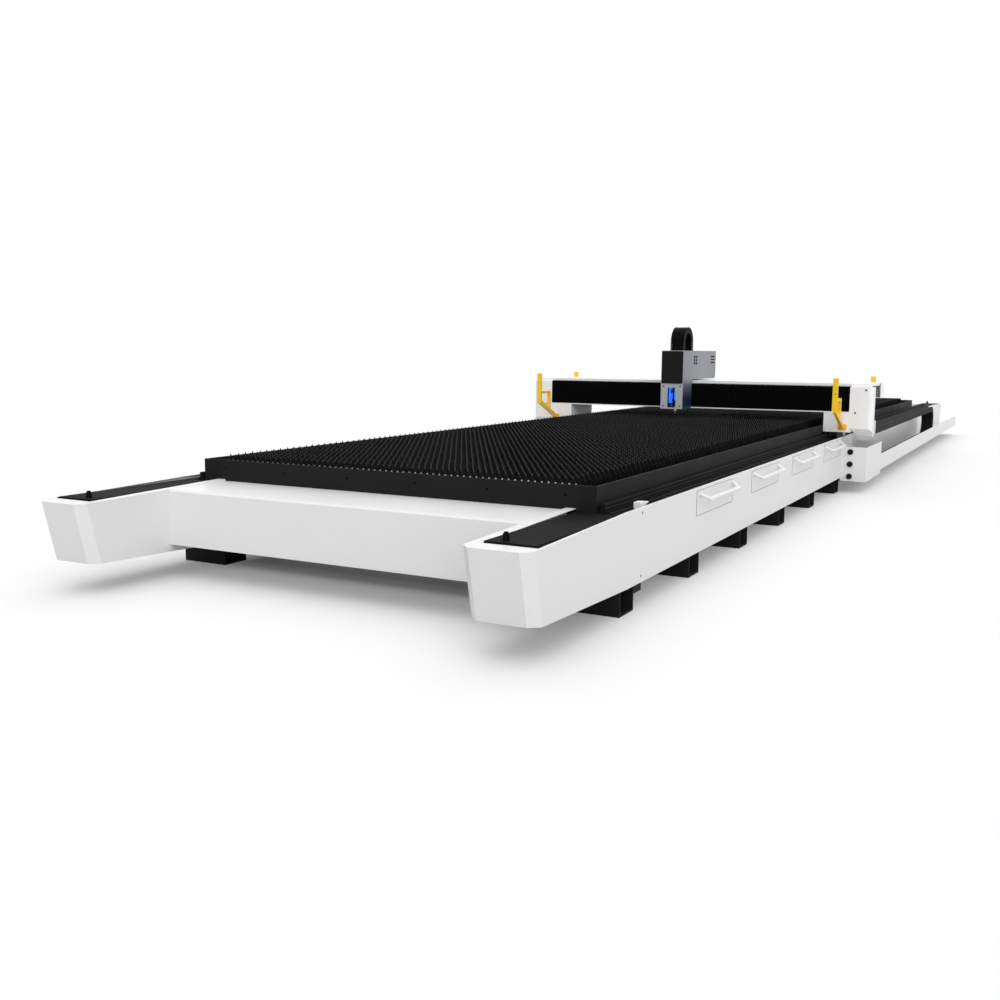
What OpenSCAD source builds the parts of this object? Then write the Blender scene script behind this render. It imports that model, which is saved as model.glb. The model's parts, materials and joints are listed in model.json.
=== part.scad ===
// Gantry laser cutting machine with a long toothed slat bed.
// Millimetres, +Z up, +Y along the bed, origin under the middle of the machine on the floor.

/* [Bed] */
// Width over the side panels
bed_w = 3800; // [3700:10:4000]
// Length over the end boxes
bed_l = 19600; // [19400:10:20400]
// Width of one side trough
side_w = 435; // [410:5:450]
// Height of the panels' top edge above the side beams
panel_rise = 56; // [48:1:64]
// Thickness of the folded white sheet
sheet = 4; // [3:0.5:6]
// Gap between a side beam and the inner wall of its end boxes
beam_gap = 75; // [65:1:90]
// Height of the top face of a side beam
beam_top = 620; // [614:1:626]
// Wall of the welded side beam
beam_wall = 10; // [8:1:14]
// Gap between a side beam and the outside of its panel
panel_gap = 20; // [16:1:24]
// Distance from the machine's end to the end of a side beam
beam_inset = 160; // [140:5:220]

/* [Feet] */
// Height of the foot tubes
foot_h = 180; // [160:5:200]
// Width of a foot tube along the bed
foot_w = 240; // [180:5:280]
// Length of a foot tube across the bed
foot_l = 420; // [360:5:440]
// Wall of a foot tube
foot_wall = 14; // [8:1:20]
// Distance from the last foot to the machine's rear
foot_end = 1412; // [1300:2:1500]
// Number of feet on each side
foot_count = 13; // [11:1:13]
// Distance from the machine's front to the first foot
foot_start = 1340; // [1250:5:1400]
// Height of the cross members between the side beams
cross_h = 150; // [100:5:180]

/* [End boxes] */
// Length of a front end box
front_box_l = 1600; // [1500:10:1700]
// Length of a rear end box
rear_box_l = 2900; // [2600:10:3000]
// How much lower the top is at the tip
box_drop = 34; // [24:1:40]
// How much higher the bottom is at the tip
box_rise = 38; // [20:1:50]
// How far the tip leans back at the bottom
box_lean = 100; // [60:5:140]
// Size of the cut vertical corners
box_corner = 62; // [40:2:80]
// Width of the rim on the inner side and tip
rim_w = 46; // [36:1:60]

/* [Covers] */
// Distance from the machine's front to the front cover
cover_setback = 795; // [700:5:900]
// Height of the bottom edge of the front and rear covers
cover_bottom = 251; // [220:1:300]
// How much lower the covers are than the side panels
cover_step = 14; // [8:1:24]
// Depth of the rear cover behind the slat frame
rear_cover_d = 620; // [500:10:800]

/* [Slat table] */
// Distance from the slat frame to the machine's rear
frame_end = 3012; // [2960:2:3100]
// Distance from the outside of the side panels to the slat frame
frame_inset = 222; // [218:1:230]
// Height of the slat frame
frame_h = 206; // [190:1:220]
// Plate thickness of the frame
frame_t = 12; // [8:1:14]
// Distance from the machine's front to the slat frame
frame_setback = 1388; // [1380:1:1420]
// Thickness of a slat
slat_t = 6; // [4:1:8]
// Number of slats
slat_rows = 36; // [20:1:48]
// Teeth on each slat
slat_teeth = 30; // [16:1:40]
// Height of a tooth
tooth_h = 46; // [30:1:50]
// Height of a slat below its teeth
slat_body = 76; // [60:1:90]
// Clear gap between the slat ends and the frame
slat_gap = 136; // [100:2:160]

/* [Drawers] */
// Length of a drawer front along the bed
drawer_l = 960; // [930:10:1000]
// Distance between drawers
drawer_pitch = 1540; // [1500:5:1555]
// Distance from the machine's front to the first drawer
drawer_start = 2770; // [2700:10:2800]
// How far a drawer reaches into the bed
drawer_depth = 1150; // [900:10:1250]
// Height of a drawer front
drawer_h = 185; // [175:1:190]
// Distance from the panels' top edge to the drawer fronts
drawer_drop = 24; // [20:1:36]
// Gap around a drawer front
drawer_gap = 4; // [2:0.5:6]
// Diameter of the handle bar
handle_d = 34; // [24:1:40]
// Distance of the handle bar from the drawer front
handle_out = 78; // [60:1:100]
// Length of the handle bar
handle_l = 760; // [600:10:780]

/* [Gantry] */
// Distance from the middle of the bed to the gantry's front at rest
gantry_rest = -1450; // [-1500:10:-1400]
// How far the trucks reach beyond the side panels
truck_over = 100; // [90:1:110]
// Depth of the crossbeam
cross_d = 560; // [500:10:580]
// Height of the crossbeam
bridge_h = 320; // [300:1:330]
// Wall of the crossbeam
cross_wall = 12; // [8:1:16]
// Depth of the trucks at both ends
truck_d = 700; // [680:10:740]
// Height of the trucks
truck_h = 235; // [220:1:250]
// Width of an end cover outside its truck
cover_w = 250; // [235:1:270]
// Depth of the rounded rear hood
hood_d = 270; // [220:5:300]
// Radius of the rear hood's corners
hood_r = 80; // [50:5:85]
// Distance of the front guard posts from the gantry's front
guard_out = 530; // [400:10:560]
// Height of a guard post
guard_h = 395; // [360:1:440]
// Width of a guard post
guard_w = 60; // [40:1:70]
// Pitch of the bellows folds
fold_pitch = 44; // [36:1:60]
// Depth of the bellows folds
fold_d = 16; // [8:1:24]

/* [Guides] */
// Width of the long linear rails
rail_w = 34; // [28:1:36]
// Height of the long linear rails
rail_h = 45; // [38:1:48]
// Height of the bars under the long linear rails
riser_h = 50; // [44:1:54]
// Width of a guide block
block_w = 70; // [60:1:72]
// Thickness of a guide block over its rail
block_roof = 30; // [26:1:36]
// Distance from the machine's rear to the end of the rails
rail_inset = 1572; // [1500:2:1640]
// Width of the toothed racks
rack_w = 30; // [24:1:31]
// Height of the toothed racks
rack_h = 40; // [30:1:42]
// Outside radius of a drive pinion
pinion_r = 30; // [24:0.5:32]
// Teeth on a drive pinion
pinion_teeth = 24; // [18:1:30]
// Height of the folded rail covers
strip_h = 35; // [28:1:36]

/* [Cutting head] */
// Place of the head along the crossbeam at rest
head_x = -135; // [-300:5:300]
// Width of the head housing
head_w = 290; // [260:2:320]
// Distance of the housing's front from the gantry's front
head_out = 350; // [330:5:380]
// Depth of the housing over the crossbeam
head_over = 1005; // [700:5:1020]
// Height of the housing over the crossbeam
head_h = 365; // [345:1:415]
// Gap between the crossbeam and the housing over it
head_gap = 45; // [42:1:60]
// Gap between the slat tips and the nozzle at rest
nozzle_gap = 53; // [50:1:70]
// Width of the window slot in the front
slot_w = 106; // [90:1:130]
// Radius of the cutting head's barrel
barrel_r = 38; // [30:1:44]

/* [Drag chain] */
// Width of the long drag chain
chain_w = 190; // [150:2:196]
// Height of the chain's links
chain_h = 80; // [60:1:84]
// Pitch of the chain's links
link_pitch = 100; // [80:1:140]
// Outer radius of the chain's bend
bend_r = 277; // [268:1:280]
// Distance from the middle of the bed to the bend at rest
bend_rest = 5425; // [5300:5:5500]
// Height of the tray floor
tray_floor = 215; // [210:1:224]
// Reach of the tray and the cable box from the panel
tray_w = 300; // [296:2:330]
// Height of the tray's outer wall above its floor
tray_wall = 190; // [150:2:200]
// Length of the cable box
gland_box_l = 1120; // [1000:10:1150]
// Height of the cable box's top
gland_box_top = 565; // [540:1:580]
// Height of the cable box's bottom
gland_box_low = 145; // [120:1:170]
// Distance from the last drawer to the cable box
gland_gap = 70; // [60:5:110]
// Width of the head's chain loop
loop_w = 170; // [140:2:200]
// Outer radius of the head's chain loop
loop_r = 195; // [170:1:200]
// Thickness of the head's chain loop
loop_t = 75; // [50:1:90]

/* [Hidden] */
$fn = 48;
// Running clearance between bodies, and overlap for clean cuts
clear = 0.3;
eps = 1;
// Weld seam between plates of one piece
seam = 0.2;

white = [0.93, 0.93, 0.94];
black = [0.06, 0.06, 0.065];
steel = [0.35, 0.36, 0.38];
silver = [0.55, 0.57, 0.61];
yellow = [0.95, 0.66, 0.05];

// Bed lines
panel_x = bed_w / 2;
inner_x = panel_x - side_w;
front_y = -bed_l / 2;
rear_y = bed_l / 2;
seam_y = front_y + front_box_l;
rear_seam_y = rear_y - rear_box_l;
panel_top = beam_top + panel_rise;
cover_top = panel_top - cover_step;
box_taper = front_box_l * 0.875;
beam_out = panel_x - panel_gap;
beam_w = side_w - panel_gap - beam_gap;
beam_in = beam_out - beam_w;
beam_start = front_y + beam_inset;
beam_end = rear_y - beam_inset;
first_foot = front_y + foot_start;
foot_pitch = (bed_l - foot_start - foot_end - foot_w) / (foot_count - 1);
last_foot = first_foot + (foot_count - 1) * foot_pitch + foot_w;
foot_margin = 20;
beam_end_low = foot_h + box_rise + 2 * sheet;
member_w = 120;
function member_y(i) = first_foot + i * foot_pitch + (foot_w - member_w) / 2;

// Slat table lines
frame_x = panel_x - frame_inset;
frame_front = front_y + frame_setback;
frame_rear = rear_y - frame_end;
frame_l = frame_rear - frame_front;
frame_top = beam_top + frame_h;
tip_z = frame_top - 5 + tooth_h;
slat_low = tip_z - tooth_h - slat_body;
slat_half = frame_x - frame_t - slat_gap;
bar_h = 36;
bar_w = 60;
bar_count = 12;
carrier_count = 5;
carrier_t = 10;

// Guide lines, measured outward from the slat frame
rail_x = frame_x + 9 + block_w / 2;
rack_x = rail_x + block_w / 2 + 5;
strip_x = rack_x + rack_w + 5;
rail_start = frame_front + 4;
rail_end = rear_y - rail_inset;
rail_low = beam_top + riser_h;
rack_top = beam_top + rack_h;
pinion_z = rack_top + clear + pinion_r;
strip_top = beam_top + strip_h;

// Drawer lines
drawer_high = panel_top - drawer_drop;
drawer_low = drawer_high - drawer_h;
runner_h = 15;
runner_w = 40;
drawer_floor = drawer_low + sheet;
tunnel_low = drawer_floor - clear - runner_h;
tunnel_high = beam_top - beam_wall - 10;
drawer_in = panel_x - sheet - drawer_depth;
runner_beam_w = 80;
function drawer_y(i) = front_y + drawer_start + (i - 1) * drawer_pitch;

// Gantry lines
truck_low = rail_low + rail_h + block_roof;
cross_low = truck_low + truck_h;
cross_high = cross_low + bridge_h;
truck_rear = gantry_rest + truck_d;
truck_in = frame_x + 6;
truck_out = panel_x + truck_over;
cross_half = truck_out - 20;
gantry_half = truck_out + cover_w;
cover_d = 150;
beam_front = gantry_rest + 100;
beam_rear = beam_front + cross_d;
gantry_mid = gantry_rest + truck_d / 2;
hood_rear = beam_rear + hood_d;
x_rail_w = 30;
x_rail_h = 22;
x_rail_low = cross_low + 60;
x_rail_high = cross_high - 85;
x_rail_half = cross_half - 80;
bellows_low = cross_low + 12 + clear;
bellows_high = cross_high;
bellows_d = 50;
lip_t = 10;
top_cover_h = 30;
top_cover_front = gantry_rest + bellows_d + 10;
end_cover_top = cross_high - lip_t - clear;

// Head lines
head_low = cross_low - 2;
head_under = cross_high + head_gap;
head_high = head_under + head_h;
nozzle_tip = tip_z + nozzle_gap;
head_left = head_x - head_w / 2;
head_right = head_x + head_w / 2;
head_front = gantry_rest - head_out;
head_back = gantry_rest - 5;
head_rear = gantry_rest + head_over;
panel_low = head_under - 48;
barrel_y = head_front + 160;
carriage_t = 20;
carriage_y = beam_front - x_rail_h - 20;

// Chain lines
chain_x = panel_x + 95 + chain_w / 2;
chain_low = tray_floor + clear;
bend_z = chain_low + bend_r;
chain_high = bend_z + bend_r - chain_h;
chain_start = truck_rear + 12;
gland_box_front = drawer_y(4) + drawer_l + gland_gap;
gland_box_back = gland_box_front + gland_box_l;

// Copies the right-hand child to both sides
module both_sides() {
    children();
    mirror([1, 0, 0]) children();
}

// Box from a low corner to a high corner
module block(low, high) {
    translate(low) cube(high - low);
}

// Profile in Y and Z, extruded along X from x0 to x1
module along_x(x0, x1) {
    translate([x0, 0, 0]) rotate([90, 0, 90]) linear_extrude(x1 - x0) children();
}

// Profile in X and Z, extruded along Y from y0 to y1
module along_y(y0, y1) {
    translate([0, y1, 0]) rotate([90, 0, 0]) linear_extrude(y1 - y0) children();
}

// Rectangle with round corners
module round_rect(size, r) {
    translate([r, 0]) square([size.x - 2 * r, size.y]);
    translate([0, r]) square([size.x, size.y - 2 * r]);
    for (x = [r, size.x - r], y = [r, size.y - r]) translate([x, y]) circle(r);
}

// Welded box beam on the right, cut shallow inside the end boxes
module side_beam(with_tunnels) {
    difference() {
        block([beam_in, beam_start, foot_h], [beam_out, beam_end, beam_top]);
        block([beam_in + beam_wall, front_y, foot_h + beam_wall],
              [beam_out - beam_wall, rear_y, beam_top - beam_wall]);
        block([beam_in - eps, front_y, foot_h - eps],
              [beam_out + eps, first_foot - foot_margin, beam_end_low]);
        block([beam_in - eps, last_foot + foot_margin, foot_h - eps],
              [beam_out + eps, rear_y, beam_end_low]);
        if (with_tunnels) for (i = [1:4])
            block([beam_in - eps, drawer_y(i), tunnel_low],
                  [beam_out + eps, drawer_y(i) + drawer_l, tunnel_high]);
    }
}
module left_side_beam() { color(black) mirror([1, 0, 0]) side_beam(false); }
module right_side_beam() { color(black) side_beam(true); }

// Tubes that tie the side beams together above the feet
module cross_members() {
    wall = 8;
    color(black) for (i = [0:foot_count - 1]) {
        y = member_y(i);
        difference() {
            block([-beam_in, y, foot_h], [beam_in, y + member_w, foot_h + cross_h]);
            block([-beam_in - eps, y + wall, foot_h + wall],
                  [beam_in + eps, y + member_w - wall, foot_h + cross_h - wall]);
        }
    }
}

// Open rectangular tubes under both side beams, and a splice lug beside the first one
module feet() {
    foot_x = beam_out - 10;
    lug = [80, 130, 70];
    color(black) both_sides() {
        for (i = [0:foot_count - 1]) {
            y = first_foot + i * foot_pitch;
            difference() {
                block([foot_x - foot_l, y, 0], [foot_x, y + foot_w, foot_h]);
                block([foot_x - foot_l - eps, y + foot_wall, foot_wall],
                      [foot_x + eps, y + foot_w - foot_wall, foot_h - foot_wall]);
            }
        }
        translate([foot_x - lug.x, first_foot + foot_w + 4, foot_h - lug.z]) cube(lug);
    }
}

// Right-hand end box body with its tip at y = 0 and its mouth at y = length, inset on every side.
// The tip leans back towards the bottom, and the cuts at its two corners lean with it.
module end_box_body(length, inset, depth) {
    c = box_corner - inset * 0.6;
    tip_top = panel_top - box_drop;
    tip_low = foot_h + box_rise;
    lean = box_lean / (tip_top - tip_low);
    cut_tilt = atan(lean / sqrt(2));
    cut_size = 2 * panel_top;
    difference() {
        along_x(inner_x + inset, panel_x - inset) polygon([
            [inset * (1 + lean), tip_top - inset], [box_taper, panel_top - inset],
            [length + depth, panel_top - inset],
            [length + depth, foot_h - depth], [box_taper, foot_h - depth],
            [inset + lean * (tip_top - tip_low + depth), tip_low - depth]]);
        for (corner = [[panel_x - inset - c, -45], [inner_x + inset + c, -135]])
            translate([corner[0], inset, tip_top]) rotate([0, cut_tilt, corner[1]])
                translate([0, -cut_size / 2, -cut_size / 2]) cube(cut_size);
    }
}

// Slots in the inner wall of the end boxes for the cross members
module member_slots() {
    play = 2;
    for (i = [0:foot_count - 1])
        block([inner_x - eps, member_y(i) - play, foot_h - eps],
              [inner_x + sheet + eps, member_y(i) + member_w + play, foot_h + cross_h + play]);
}

// Folded end box: open below and at its mouth, with a flat rim round the open top
module end_box(length) {
    difference() {
        end_box_body(length, 0, 0);
        end_box_body(length, sheet, 40);
        block([inner_x + rim_w, rim_w + sheet, panel_top - box_drop - 40],
              [beam_out, length + eps, panel_top + eps]);
    }
}
module front_box_right() {
    difference() {
        translate([0, front_y, 0]) end_box(front_box_l);
        block([inner_x - eps, frame_front - 2, foot_h - eps],
              [frame_x + 2, frame_front + front_box_l, panel_top + eps]);
        member_slots();
    }
}
module rear_box_right() {
    difference() {
        translate([0, rear_y, 0]) mirror([0, 1, 0]) end_box(rear_box_l);
        member_slots();
    }
}
module front_left_end_box() { color(white) mirror([1, 0, 0]) front_box_right(); }
module front_right_end_box() { color(white) front_box_right(); }
module rear_left_end_box() { color(white) mirror([1, 0, 0]) rear_box_right(); }
module rear_right_end_box() { color(white) rear_box_right(); }

// Folded cover between the end boxes: face, ledge and lower return
module end_cover_sheet(depth) {
    lip = 40;
    along_x(-inner_x, inner_x) difference() {
        polygon([[0, cover_bottom], [depth, cover_bottom], [depth, cover_top],
                 [14, cover_top], [0, cover_top - 14]]);
        polygon([[sheet, cover_bottom + sheet], [depth + eps, cover_bottom + sheet],
                 [depth + eps, cover_top - sheet], [14 + sheet / 2, cover_top - sheet],
                 [sheet, cover_top - 14 - sheet / 2]]);
        translate([lip, cover_bottom - eps]) square([depth, sheet + 2 * eps]);
    }
}
module front_cover() {
    color(white) translate([0, front_y + cover_setback, 0])
        end_cover_sheet(frame_setback - cover_setback);
}
module rear_cover() {
    color(white) translate([0, frame_rear + rear_cover_d, 0]) mirror([0, 1, 0]) end_cover_sheet(rear_cover_d);
}

// Folded side panel with lips that reach back to the beam and the rail cover
module side_panel(with_drawers) {
    difference() {
        block([beam_out, seam_y, foot_h], [panel_x, rear_seam_y, panel_top]);
        block([beam_out - eps, seam_y - eps, foot_h + sheet],
              [panel_x - sheet, rear_seam_y + eps, panel_top - sheet]);
        if (with_drawers) for (i = [1:4])
            block([beam_out - eps, drawer_y(i) - drawer_gap, drawer_low - drawer_gap],
                  [panel_x + eps, drawer_y(i) + drawer_l + drawer_gap, drawer_high + drawer_gap]);
    }
}
module left_side_panel() { color(white) mirror([1, 0, 0]) side_panel(false); }
module right_side_panel() { color(white) side_panel(true); }

// Cap over the full width of a beam's end, from y0 to y1
module beam_cap(y0, y1) {
    difference() {
        block([beam_in, y0, beam_top], [strip_x + sheet, y1, strip_top]);
        block([beam_in + sheet, y0 + sheet, beam_top - eps],
              [strip_x + sheet + eps, y1 - sheet, strip_top - sheet]);
    }
}

// Black folded cover beside the rail, with a low step on its outer edge, and caps beyond the rail's ends
module rail_cover() {
    step = 6;
    cap_gap = 6;
    difference() {
        along_y(beam_start, beam_end) polygon([
            [strip_x, beam_top], [beam_out, beam_top], [beam_out, strip_top - step],
            [beam_out - 18, strip_top - step], [beam_out - 18, strip_top], [strip_x, strip_top]]);
        block([strip_x + sheet, beam_start - eps, beam_top - eps],
              [beam_out - sheet, beam_end + eps, strip_top - step - sheet]);
        block([strip_x - eps, beam_start + sheet, beam_top - eps],
              [strip_x + 2 * sheet, frame_front - cap_gap - sheet, strip_top - step - sheet]);
        block([strip_x - eps, rail_end + cap_gap + sheet, beam_top - eps],
              [strip_x + 2 * sheet, beam_end - sheet, strip_top - step - sheet]);
    }
    beam_cap(beam_start, frame_front - cap_gap);
    beam_cap(rail_end + cap_gap, beam_end);
}
module left_rail_cover() { color(black) mirror([1, 0, 0]) rail_cover(); }
module right_rail_cover() { color(black) rail_cover(); }

// Ground rails with undercut flanks on raised bars
module bed_rails() {
    neck = 5;
    riser_w = block_w - 4;
    color(black) both_sides() translate([rail_x, 0, 0]) {
        block([-riser_w / 2, rail_start, beam_top], [riser_w / 2, rail_end, rail_low - seam]);
        translate([0, 0, rail_low]) along_y(rail_start, rail_end) polygon([
            [-rail_w / 2, 0], [rail_w / 2, 0], [rail_w / 2, rail_h * 0.35], [rail_w / 2 - neck, rail_h * 0.5],
            [rail_w / 2 - neck, rail_h * 0.62], [rail_w / 2, rail_h * 0.78], [rail_w / 2 - 2, rail_h],
            [2 - rail_w / 2, rail_h], [-rail_w / 2, rail_h * 0.78], [neck - rail_w / 2, rail_h * 0.62],
            [neck - rail_w / 2, rail_h * 0.5], [-rail_w / 2, rail_h * 0.35]]);
    }
}
module racks() {
    color(steel) both_sides()
        block([rack_x, rail_start, beam_top], [rack_x + rack_w, rail_end, rack_top]);
}

// Buffer posts on the caps of the side beams
module end_stops() {
    stop_r = 22;
    stop_h = 48;
    stop_x = beam_in + 100;
    stop_in = 70;
    color(black) both_sides() for (y = [beam_start + stop_in, beam_end - stop_in])
        translate([stop_x, y, strip_top]) {
            cylinder(h = stop_h - 10, r1 = stop_r, r2 = stop_r * 0.8);
            translate([0, 0, stop_h - 10]) cylinder(h = 10, r = stop_r * 0.6);
        }
}

// Travel switch with a pointed plunger on the right rail cover
module limit_switch() {
    size = [46, 130, 44];
    x = beam_out - 18 - size.x - 4;
    y = seam_y + 96;
    color(white) translate([x, y, strip_top]) {
        cube([size.x, size.y * 0.6, size.z]);
        translate([6, size.y * 0.6 - eps, 6]) cube([size.x - 12, size.y * 0.4, size.z - 12]);
        translate([size.x / 2, size.y - eps, size.z / 2]) rotate([-90, 0, 0]) {
            cylinder(h = 50, r = 10);
            translate([0, 0, 50]) cylinder(h = 34, r1 = 10, r2 = 3);
        }
    }
}

// Black frame of four rim plates, with bolt holes in the front one
module slat_frame() {
    hole_r = 9;
    hole_step = 2 * (frame_x - 220) / 5;
    color(black) {
        difference() {
            block([-frame_x, frame_front, beam_top], [frame_x, frame_front + frame_t, frame_top]);
            for (i = [0:5]) translate([220 - frame_x + i * hole_step, frame_front - eps, frame_top - 70])
                rotate([-90, 0, 0]) cylinder(h = frame_t + 2 * eps, r = hole_r);
        }
        block([-frame_x, frame_rear - frame_t, beam_top], [frame_x, frame_rear, frame_top]);
        both_sides() block([frame_x - frame_t, frame_front + frame_t + seam, beam_top],
                           [frame_x, frame_rear - frame_t - seam, frame_top]);
    }
}

// Cross bars between the side plates, and the upright carriers that the slats stand on
module slat_carriers() {
    reach = frame_x - frame_t - seam;
    color(black) {
        for (i = [0:bar_count - 1]) {
            y = frame_front + frame_t + (i + 0.5) * (frame_l - 2 * frame_t) / bar_count;
            block([-reach, y - bar_w / 2, beam_top], [reach, y + bar_w / 2, beam_top + bar_h - seam]);
        }
        for (i = [0:carrier_count - 1]) {
            x = (slat_half - 40) * (2 * i / (carrier_count - 1) - 1);
            block([x - carrier_t / 2, frame_front + frame_t + seam, beam_top + bar_h],
                  [x + carrier_t / 2, frame_rear - frame_t - seam, slat_low]);
        }
    }
}

// Upright toothed slats across the table
module slats() {
    pitch = 2 * slat_half / slat_teeth;
    base = slat_low + slat_body;
    row = (frame_l - 2 * frame_t) / slat_rows;
    teeth = [for (i = [0:slat_teeth - 1], p = [[0.02, 0], [0.44, 1], [0.56, 1]])
        [(i + p.x) * pitch - slat_half, base + p.y * tooth_h]];
    color(black) for (i = [0:slat_rows - 1]) {
        y = frame_front + frame_t + (i + 0.5) * row;
        along_y(y - slat_t / 2, y + slat_t / 2)
            polygon(concat([[slat_half, base], [slat_half, slat_low], [-slat_half, slat_low],
                            [-slat_half, base]], teeth));
    }
}

// Longitudinal bearer on the cross members, and two sliding bars under each drawer
module drawer_runners() {
    bearer_x = drawer_in - 20;
    color(steel) {
        block([bearer_x, drawer_y(1) - 200, foot_h + cross_h],
              [bearer_x + runner_beam_w, drawer_y(4) + drawer_l + 200, tunnel_low]);
        for (i = [1:4], y = [drawer_y(i) + 30, drawer_y(i) + drawer_l - 30 - runner_w])
            block([bearer_x, y, tunnel_low + seam],
                  [beam_out - beam_wall / 2, y + runner_w, tunnel_low + runner_h]);
    }
}

// Slag drawer: tray with an outer front that fills the hole in the side panel
module slag_drawer(i) {
    y0 = drawer_y(i) + 12;
    y1 = drawer_y(i) + drawer_l - 12;
    top = tunnel_high - 14;
    color(white) {
        difference() {
            block([drawer_in, y0, drawer_floor], [panel_x - sheet, y1, top]);
            block([drawer_in + sheet, y0 + sheet, drawer_floor + sheet],
                  [panel_x - 2 * sheet, y1 - sheet, top + eps]);
        }
        block([panel_x - sheet, drawer_y(i), drawer_low], [panel_x, drawer_y(i) + drawer_l, drawer_high]);
    }
}
module slag_drawer_1() { slag_drawer(1); }
module slag_drawer_2() { slag_drawer(2); }
module slag_drawer_3() { slag_drawer(3); }
module slag_drawer_4() { slag_drawer(4); }

// Rod between two points with round ends
module rod(from, to, r) {
    v = to - from;
    length = norm(v);
    translate(from) {
        sphere(r);
        rotate([0, acos(v.z / length), atan2(v.y, v.x)]) cylinder(h = length, r = r);
    }
    translate(to) sphere(r);
}

// Long pull bar on splayed arms, with a pad under each arm
module drawer_handle(i) {
    r = handle_d / 2;
    splay = 50;
    pad = [8, 56, 44];
    arm_r = r * 0.8;
    middle = drawer_y(i) + drawer_l / 2;
    bar_z = drawer_high - 62;
    arm_z = drawer_high - 26;
    color(white) {
        rod([panel_x + handle_out, middle - handle_l / 2, bar_z],
            [panel_x + handle_out, middle + handle_l / 2, bar_z], r);
        for (side = [-1, 1]) {
            foot = middle + side * (handle_l / 2 + splay);
            rod([panel_x + arm_r + clear, foot, arm_z],
                [panel_x + handle_out, middle + side * handle_l / 2, bar_z], arm_r);
            translate([panel_x, foot - pad.y / 2, arm_z - pad.z / 2]) cube(pad);
        }
    }
}
module drawer_handle_1() { drawer_handle(1); }
module drawer_handle_2() { drawer_handle(2); }
module drawer_handle_3() { drawer_handle(3); }
module drawer_handle_4() { drawer_handle(4); }

// Three glands in a column on the cable box
gland_r = 34;
gland_bore = 14;
gland_count = 3;
gland_x = panel_x + tray_w * 0.36;
function gland_z(i) = gland_box_low + 62 + i * (gland_box_top - gland_box_low - 124) / (gland_count - 1);

// Open-topped cable box on the side of the bed, with a window for the chain
module gland_box() {
    color(white) difference() {
        block([panel_x, gland_box_front, gland_box_low], [panel_x + tray_w, gland_box_back, gland_box_top]);
        block([panel_x + sheet, gland_box_front + sheet, gland_box_low + sheet],
              [panel_x + tray_w - sheet, gland_box_back - sheet, gland_box_top + eps]);
        block([chain_x - chain_w / 2 - 4, gland_box_back - 2 * sheet, tray_floor],
              [chain_x + chain_w / 2 + 4, gland_box_back + eps, tray_floor + chain_h + 10]);
        for (i = [0:gland_count - 1]) translate([gland_x, gland_box_front - eps, gland_z(i)])
            rotate([-90, 0, 0]) cylinder(h = sheet + 2 * eps, r = gland_r * 0.7);
    }
}
module cable_glands() {
    nut = 16;
    color(black) for (i = [0:gland_count - 1])
        translate([gland_x, gland_box_front, gland_z(i)]) rotate([90, 0, 0]) difference() {
            union() {
                cylinder(h = nut, r = gland_r);
                translate([0, 0, nut]) cylinder(h = 14, r1 = gland_r * 0.85, r2 = gland_r * 0.6);
                translate([0, 0, -sheet - 12]) cylinder(h = sheet + 12 + eps, r = gland_r * 0.7 - clear);
            }
            translate([0, 0, -sheet - 12 - eps]) cylinder(h = sheet + nut + 60, r = gland_bore);
        }
}

// Chain tray: floor with a taller outer wall, from the cable box to the rear end
module chain_tray() {
    color(white) along_y(gland_box_back, rear_y) polygon([
        [panel_x, tray_floor - 20], [panel_x + sheet, tray_floor - 20], [panel_x + sheet, tray_floor - sheet],
        [panel_x + tray_w - sheet, tray_floor - sheet], [panel_x + tray_w - sheet, tray_floor - 20],
        [panel_x + tray_w, tray_floor - 20], [panel_x + tray_w, tray_floor + tray_wall],
        [panel_x + tray_w - sheet, tray_floor + tray_wall], [panel_x + tray_w - sheet, tray_floor],
        [panel_x + sheet, tray_floor], [panel_x + sheet, tray_floor + 50], [panel_x, tray_floor + 50]]);
}

// Straight run of links between y0 and y1: a core with a raised frame for each link
module chain_run(y0, y1, z) {
    count = round((y1 - y0) / link_pitch);
    step = (y1 - y0) / count;
    rib = 7;
    block([chain_x - chain_w / 2 + rib, y0, z + rib], [chain_x + chain_w / 2 - rib, y1, z + chain_h - rib]);
    for (i = [0:count - 1])
        block([chain_x - chain_w / 2, y0 + (i + 0.08) * step, z],
              [chain_x + chain_w / 2, y0 + (i + 0.92) * step, z + chain_h]);
}
module chain_lower_run() {
    color(black) chain_run(gland_box_back + clear, bend_rest - clear, chain_low);
}
module chain_upper_run() {
    color(black) chain_run(chain_start, bend_rest - clear, chain_high);
}

// Ring sector in the Y-Z plane about the origin, from angle a0 through sweep
module ring_sector(width, r_out, r_in, a0, sweep) {
    rotate([0, 0, 90]) rotate([90, 0, 0]) rotate([0, 0, a0]) rotate_extrude(angle = sweep)
        translate([r_in, -width / 2]) square([r_out - r_in, width]);
}

// Half turn of links with its axis along X, from the lower run to the upper run
module chain_bend(width, r_out, thick, count, a0) {
    rib = 7;
    step = 180 / count;
    ring_sector(width - 2 * rib, r_out - rib, r_out - thick + rib, a0, 180);
    for (i = [0:count - 1])
        ring_sector(width, r_out, r_out - thick, a0 + (i + 0.08) * step, step * 0.84);
}
module chain_loop() {
    color(black) translate([chain_x, bend_rest, bend_z]) chain_bend(chain_w, bend_r, chain_h, 7, -90);
}

// Plate on the right truck that pulls the chain
module chain_bracket() {
    color(white) block([truck_out - 45, truck_rear, chain_high],
                       [chain_x + chain_w / 2, chain_start - clear, truck_low + 115]);
}

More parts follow.
